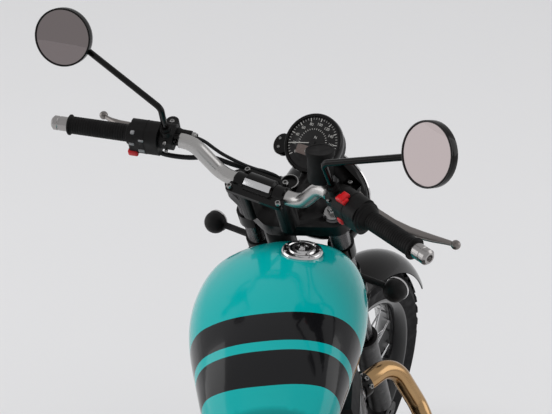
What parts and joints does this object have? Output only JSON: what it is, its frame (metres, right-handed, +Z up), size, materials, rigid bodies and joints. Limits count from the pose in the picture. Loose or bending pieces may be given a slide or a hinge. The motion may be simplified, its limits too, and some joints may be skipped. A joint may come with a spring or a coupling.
{
  "type": "scrambler motorcycle",
  "caption": "Scrambler motorcycle with a parallel twin engine, wide handlebar, high exhaust, bench seat and wire wheels, parked on its side stand.",
  "frame": {"origin": "middle of the parked machine's bounding box, on the ground", "axes": "+X along the machine towards its front, +Y to its left, +Z up"},
  "size_m": [2.0786, 0.8707, 1.3448],
  "materials": {
    "frame_black": "satin",
    "gloss_black": "gloss",
    "tank_turquoise": "gloss",
    "engine_black": "satin",
    "cast_alloy": "satin",
    "bar_silver": "brushed",
    "fork_grey": "satin",
    "bright_chrome": "polished",
    "bright_steel": "brushed",
    "exhaust_bronze": "heat tinted",
    "exhaust_steel": "brushed",
    "chain_steel": "oiled",
    "tyre_rubber": "matte",
    "black_rubber": "matte",
    "seat_cover": "satin",
    "black_plastic": "matte",
    "dark_plastic": "gloss"
  },
  "bodies": {
    "frame": {"chain": "chain_steel", "crankcase": "engine_black", "cylinders": "engine_black", "engine_covers": "cast_alloy", "filler_cap": "bright_chrome", "foot_controls": "cast_alloy", "fuel_tank": "tank_turquoise", "headers": "exhaust_bronze", "heat_shields": "frame_black", "main_frame": "frame_black", "radiator": "frame_black", "rear_caliper": "frame_black", "rear_lamps": "black_plastic", "rear_mudguard": "gloss_black", "seat": "seat_cover", "seat_rails": "frame_black", "shocks": "frame_black", "side_panels": "gloss_black", "silencers": "exhaust_steel", "swingarm": "frame_black", "throttle_bodies": "black_plastic"},
    "steering": {"bar_clamp": "gloss_black", "bar_controls": "black_plastic", "cables": "black_rubber", "front_caliper": "frame_black", "front_indicators": "black_plastic", "front_mudguard": "gloss_black", "gauge": "black_plastic", "grips": "black_rubber", "handlebar": "bar_silver", "headlamp": "dark_plastic", "levers": "bar_silver", "lower_yoke": "frame_black", "mirrors": "dark_plastic", "sliders": "fork_grey", "stanchions": "bright_chrome", "top_yoke": "frame_black"},
    "front_wheel": {"front_disc": "bright_steel", "front_tyre": "tyre_rubber", "front_wheel": "frame_black"},
    "rear_wheel": {"rear_disc": "bright_steel", "rear_sprocket": "chain_steel", "rear_tyre": "tyre_rubber", "rear_wheel": "frame_black"},
    "side_stand": {"side_stand": "frame_black"}
  },
  "joints": [
    {"name": "steering", "type": "hinge", "parent": "frame", "child": "steering", "pos_m": [0.40135, -0.0259, 0.92937], "axis": [-0.4348, 0.178, 0.8828], "range_deg": [0, 62.6]},
    {"name": "front_wheel_spin", "type": "hinge", "parent": "steering", "child": "front_wheel", "pos_m": [0.74097, -0.17034, 0.33054], "axis": [0.4678, 0.8822, 0.0525], "continuous": true},
    {"name": "rear_wheel_spin", "type": "hinge", "parent": "frame", "child": "rear_wheel", "pos_m": [-0.69813, -0.14985, 0.31467], "axis": [0, 0.9803, -0.1977], "continuous": true},
    {"name": "side_stand_fold", "type": "hinge", "parent": "frame", "child": "side_stand", "pos_m": [-0.09788, -0.01925, 0.20346], "axis": [0.0069, 0.8547, 0.519], "range_deg": [0, 99]}
  ]
}
